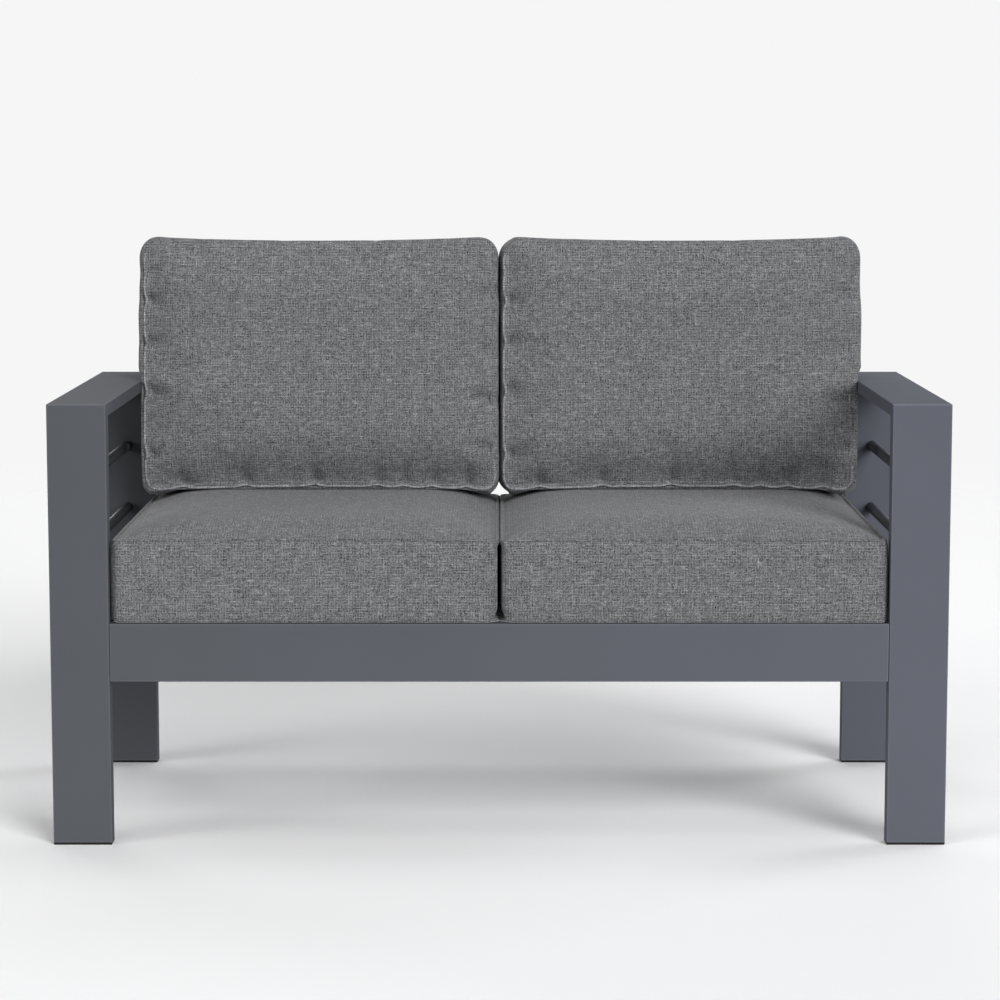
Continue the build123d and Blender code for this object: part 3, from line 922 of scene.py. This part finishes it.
def gathered(points, seam, shape):
    """Draws points in at the gathers of the front seam: the seam itself, and a dimple beside it."""
    gap, place, total = nearest_on_loop(points, seam)
    gathers = gather_places(shape, seam)
    near = bunched(place, total, gathers, GATHER_WIDTH) * np.exp(-(gap / GATHER_REACH) ** GATHER_FALL)
    wide = bunched(place, total, gathers, DIMPLE_WIDTH)
    dimple = wide * (gap / DIMPLE_REACH) * np.exp(1 - gap / DIMPLE_REACH)
    on_panel = points[:, 2] >= shape["front_seam"] - SEAM_MARGIN
    down = np.where(on_panel, dimple, 0) * shape["gather_depth"]
    # The edge is a lip with a stitched groove inside it, or a crease where the welt is turned in
    lip = np.interp(gap, LIP_PLACES, shape["lip"])
    crease = np.exp(-(gap / CREASE_WIDTH) ** 2) * turned_in(points, shape) * shape["crease"]
    down += crease - np.where(on_panel, lip, 0)
    tuck = np.where(on_panel, 0, np.exp(-(gap / TUCK_WIDTH) ** 2)) * shape["tuck"]
    inward = near * shape["gather_draw"] + crease + tuck
    foot = points[:, 1] + shape["half_v"]
    down += shape["foot_tuck"] * np.exp(-(np.clip(foot, 0, None) / FOOT_REACH) ** FOOT_FALL)
    # All of it fades towards the rear panel
    fade = np.clip(points[:, 2] / shape["front_seam"], 0, 1) ** REAR_FADE
    moved = points + toward_middle(points, shape) * (inward * fade)[:, None]
    moved[:, 2] -= down * fade
    return moved


# The cloth simulation
def pinned_cover(points, faces, seams, shape):
    """A trial object with the points that stay still and the seams that shrink as vertex groups."""
    obj = make_mesh("cover_trial", points * MM, faces)
    still = obj.vertex_groups.new(name="held")
    held = np.flatnonzero(points[:, 2] < shape["held_below"])
    still.add([int(i) for i in held], 1.0, "REPLACE")
    tight = obj.vertex_groups.new(name="seam")
    for seam in seams:
        place, total = loop_places(points[seam])
        pull = bunched(place, total, gather_places(shape, points[seam]), PULL_WIDTH)
        for vertex, amount in zip(seam, np.clip(EVEN_PULL + (1 - EVEN_PULL) * pull, 0, 1)):
            tight.add([int(vertex)], float(amount), "REPLACE")
    return obj


def add_cloth(obj, shape):
    cloth = obj.modifiers.new("cover", "CLOTH")
    settings = cloth.settings
    settings.quality = 7
    settings.mass = 0.35
    settings.tension_stiffness = 18.0
    settings.compression_stiffness = 18.0
    settings.shear_stiffness = 8.0
    settings.bending_stiffness = shape["bending"]
    settings.air_damping = 2.0
    settings.vertex_group_mass = "held"
    settings.vertex_group_shrink = "seam"
    settings.shrink_min = 0.0
    settings.shrink_max = shape["shrink"]
    settings.use_pressure = True
    settings.uniform_pressure_force = shape["pressure"]
    settings.effector_weights.gravity = 0.0
    cloth.collision_settings.use_collision = False
    cloth.point_cache.frame_start = 1
    cloth.point_cache.frame_end = SIMULATED_FRAMES


def simulate(points, faces, seams, shape):
    """Blows the cover up while its seams draw it in, and returns how far each point moves."""
    obj = pinned_cover(points, faces, seams, shape)
    add_cloth(obj, shape)
    scene = bpy.context.scene
    for number in range(1, SIMULATED_FRAMES + 1):
        scene.frame_set(number)
    mesh = evaluated_mesh(obj)
    moved = get_points(mesh) / MM - points
    edges = get_edges(mesh)
    scene.frame_set(1)
    bpy.data.objects.remove(obj)
    bpy.data.meshes.remove(mesh)
    return moved, edges


def settled(points, faces, seams, shape):
    """The cover's form after the cloth has settled: folds are kept, broad swelling isn't."""
    moved, edges = simulate(points, faces, seams, shape)
    length = np.linalg.norm(moved, axis=1)
    moved *= np.minimum(1, MOVE_LIMIT / np.maximum(length, TINY))[:, None]
    folds = moved - smoothed(moved, edges, BROAD_ROUNDS)
    near = np.full(len(points), FAR)
    for seam in seams:
        near = np.minimum(near, nearest_on_loop(points, points[seam])[0])
    share = shape["fold_share"] * (1 - np.exp(-(near / SEAM_HOLD) ** 2))
    share *= np.where(points[:, 2] >= shape["front_seam"], 1.0, BOXING_FOLDS)
    return points + folds * share[:, None]


# How the cushions lie against each other and the frame
def placed(points, origin, axes):
    """From a cushion's own axes to the frame's, both in millimetres."""
    return np.asarray(origin) + points @ np.asarray(axes, float)


def meeting(y):
    """The place across of the wavy plane in which a pair of cushions meets, so no light passes it."""
    return MEETING_WAVE * np.sin(2 * math.pi * y / MEETING_LENGTH)


def kept_off_meeting(points, side, room):
    """Keeps points on their own side of the plane in which the pair meets."""
    x = (points[:, 0] - meeting(points[:, 1])) * side
    points[:, 0] = np.clip(x, room, None) * side + meeting(points[:, 1])
    return points


def kept_apart(points, side):
    """Keeps a cushion on its own side of the middle and inside the side frame."""
    points = kept_off_meeting(points, side, PAIR_GAP)
    limit = OUTER_LIMIT + ABOVE_ARM_ROOM * smooth_step(points[:, 2], *ABOVE_ARM)
    points[:, 0] = np.clip(points[:, 0] * side, None, limit) * side
    return points


def parted_at_front(points, side):
    """The pair of seat cushions meets at the rear and along the top edge, and stands apart in front."""
    x = points[:, 0] * side
    toward = 1 - smooth_step(x, 0, PARTING_REACH)
    line = PARTED_AT_FOOT + PARTING_SLOPE * (points[:, 2] - PARTING_FOOT)
    line = np.clip(line, PARTED_AT_FOOT, PARTED_AT_SEAM)
    ahead = 1 - smooth_step(points[:, 1], line - PARTING_FADE, line)
    below = 1 - smooth_step(points[:, 2], *PARTED_BELOW)
    foot = 1 - smooth_step(points[:, 2], *FOOT_HEIGHTS)
    points[:, 0] += (FRONT_PARTING + FOOT_PARTING * foot) * toward * ahead * below * side
    return points


def pressed_by_back(points):
    """A seat cushion's crown, pressed flat where the back cushion stands on it."""
    over = (points - BACK_FOOT) @ LEAN_UP + PRESS_ROOM
    points -= np.clip(over, 0, None)[:, None] * LEAN_UP
    return points


def stood_and_leant(points):
    """A back cushion stands on the seat cushion, sags beside its crown and leans on the slats."""
    across = np.abs(np.abs(points[:, 0]) - BACK_PLACE_X)
    sag = CORNER_SAG * smooth_step(across, *SAG_ACROSS)
    up = (points - BACK_FOOT) @ LEAN_UP
    ahead = (points - BACK_FOOT) @ LEAN_FRONT
    middle = smooth_step(ahead, *SAG_BEHIND) * (1 - smooth_step(ahead, *SAG_AHEAD))
    points -= (sag * middle * (1 - smooth_step(up, *SAG_UP)))[:, None] * LEAN_UP
    under = (points - BACK_FOOT) @ LEAN_UP + sag * middle
    points -= np.clip(under, None, 0)[:, None] * LEAN_UP
    behind = (points - BACK_FOOT) @ LEAN_FRONT
    points -= np.clip(behind, None, 0)[:, None] * LEAN_FRONT
    return points


# The two cushion types
def cushion_object(name, shape, origin, axes):
    """The settled cushion as an object, its points in the frame, its front welt's path, its loops."""
    points, faces, loops = cushion_form(shape)
    points = settled(points, faces, (loops["front"], loops["rear"]), shape)
    obj = make_mesh(name, points, faces)
    subdivide(obj)
    points = get_points(obj.data)
    seam = smooth_loop(points[loops["front"]])
    path = resample(seam, WELT_STEP)
    tucked = turned_in(path, shape)
    path = gathered(path, seam, shape)
    path[:, 2] += shape["welt_lift"] - tucked * shape["welt_sink"]
    return obj, placed(gathered(points, seam, shape), origin, axes), placed(path, origin, axes), loops


def dress(body, obj, extras, fabric):
    """Gives a cushion its cloth, and ties it and its trim to the cushion's body."""
    obj.data.materials.append(fabric)
    for piece in [obj] + extras:
        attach(piece, body)


def seat_seam(name, path, side, radius, finish):
    """A thin seam line along a seat cushion's edge, clear of the other cushion."""
    path = kept_off_meeting(resample(path, SEAM_STEP), side, 2 * PAIR_GAP + radius / MM)
    return tube(name, path * MM, radius, finish)


def seat_cushion(name, side, finishes):
    origin = (SEAT_PLACE_X * side, SEAT_PLACE_Y, SEAT_BOTTOM)
    axes = ((1, 0, 0), (0, 1, 0), (0, 0, 1))
    obj, points, _, loops = cushion_object(f"seat_cushion_look_{name}", SEAT_SHAPE, origin, axes)
    points = parted_at_front(kept_apart(points, side), side)
    points[:, 2] = np.maximum(points[:, 2], SEAT_BOTTOM)
    points = pressed_by_back(points)
    set_points(obj, points * MM)
    up = np.array((0.0, 0.0, 1.0))
    sewn = stitches(f"seat_stitches_{name}", points[loops["inset"]], up, finishes["thread"])
    low_path = points[loops["rear"]] + up * HEM_LIFT
    hem = seat_seam(f"seat_hem_{name}", low_path, side, HEM_RADIUS, finishes["trim"])
    # The seam line is a dark tube, painted shade in the seam's groove
    seam_shade_line = seat_seam(f"seat_seam_{name}", points[loops["front"]], side, SEAM_RADIUS, finishes["seam"])
    dress(f"seat_cushion_{name}_body", obj, [sewn, hem, seam_shade_line], finishes["fabric"])
    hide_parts(f"seat_cushion_{name}", f"seat_foam_{name}")


def back_cushion(name, side, finishes):
    origin = BACK_FOOT + LEAN_UP * BACK_MIDDLE_V + np.array((BACK_PLACE_X * side, 0, 0))
    axes = ((1, 0, 0), LEAN_UP, LEAN_FRONT)
    shape = dict(BACK_SHAPE, **BACK_INNER_SIDE[name])
    obj, points, path, loops = cushion_object(f"back_cushion_look_{name}", shape, origin, axes)
    points = stood_and_leant(kept_apart(points, side))
    set_points(obj, points * MM)
    path[:, 0] = np.clip(path[:, 0] * side, PAIR_GAP + WELT_RADIUS / MM, None) * side
    welt = tube(f"back_welt_{name}", path * MM, WELT_RADIUS, finishes["trim"])
    rear_path = resample(points[loops["rear"]], SEAM_STEP)
    rear_welt = tube(f"back_rear_welt_{name}", rear_path * MM, WELT_RADIUS, finishes["trim"])
    sewn = stitches(f"back_stitches_{name}", points[loops["inset"]], LEAN_FRONT, finishes["thread"])
    dress(f"back_cushion_{name}_body", obj, [welt, rear_welt, sewn], finishes["fabric"])
    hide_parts(f"back_cushion_{name}", f"back_foam_{name}")


def make_cushions():
    finishes = {
        "fabric": melange_weave("melange_fabric", FABRIC_LEVEL),
        # A lighter copy of the cloth for the welts and hems, as painted highlight
        "trim": melange_weave("melange_trim_lit", TRIM_LIT_LEVEL),
        # A darker copy of the cloth for the seat's seam lines, as painted shade
        "seam": melange_weave("melange_seam_shaded", SEAM_SHADE_LEVEL),
        "thread": sewing_thread(),
    }
    for name, side in SIDES:
        seat_cushion(name, side, finishes)
        back_cushion(name, side, finishes)


# The frame's finish
def finish_frame():
    """Gives every hard piece its finish; the round bars get a darker copy of the coat as painted shade, and
    a smoother finish.
    """
    shaded_bar_coat = powder_coat("slate_bar_coat_shaded", BAR_SHADE_LEVEL, BAR_POLISH)
    coats = {
        "slate_powder_coat": powder_coat("slate_powder_coat"),
        "foot_cap_black": black_plastic(),
        "plated_fastener": plated_steel(),
    }
    for part in frame["record"]["subparts"]:
        finish = coats.get(part["material_slot"])
        if part["node"].startswith("arm_bar_"):
            finish = shaded_bar_coat
        if finish is not None:
            node = frame["nodes"][part["node"]]
            node.data.materials.clear()
            node.data.materials.append(finish)


# Stage
def make_floor():
    half = FLOOR_SIZE / 2
    corners = [(-half, -half, 0), (half, -half, 0), (half, half, 0), (-half, half, 0)]
    floor = make_mesh("studio_floor", corners, [(0, 1, 2, 3)], smooth=False)
    floor.data.materials.append(floor_material())


def background(tree, level):
    node = tree.nodes.new("ShaderNodeBackground")
    node.inputs[0].default_value = (*WHITE, 1.0)
    node.inputs[1].default_value = level
    return node.outputs[0]


def make_world():
    """A dim even room that looks like a pale backdrop."""
    world = bpy.data.worlds.new("studio")
    world.use_nodes = True
    tree = world.node_tree
    tree.nodes.clear()
    out = tree.nodes.new("ShaderNodeOutputWorld")
    room = background(tree, ROOM_LEVEL)
    backdrop = background(tree, BACKDROP_LEVEL)
    tree.links.new(mix_shaders(tree, plainly_seen(tree), room, backdrop), out.inputs[0])
    bpy.context.scene.world = world


def make_lamps():
    for name, height, bearing, strength, tint in LAMPS:
        lamp = bpy.data.lights.new(name, "SUN")
        lamp.energy = strength
        lamp.color = tint
        lamp.angle = math.radians(LAMP_SPREAD)
        obj = bpy.data.objects.new(name, lamp)
        bpy.context.scene.collection.objects.link(obj)
        up, turn = math.radians(height), math.radians(bearing)
        source = Vector((math.cos(turn) * math.cos(up), math.sin(turn) * math.cos(up), math.sin(up)))
        obj.rotation_euler = source.to_track_quat("Z", "Y").to_euler()


def make_camera():
    data = bpy.data.cameras.new("camera")
    data.lens = CAMERA_LENS
    data.sensor_width = SENSOR_WIDTH
    data.sensor_fit = "HORIZONTAL"
    camera = bpy.data.objects.new("camera", data)
    camera.location = CAMERA_PLACE
    camera.rotation_euler = (math.radians(90 - CAMERA_PITCH), 0, 0)
    bpy.context.scene.collection.objects.link(camera)
    bpy.context.scene.camera = camera


finish_frame()
make_cushions()
make_floor()
make_world()
make_lamps()
make_camera()
bpy.context.scene.view_settings.view_transform = "Standard"
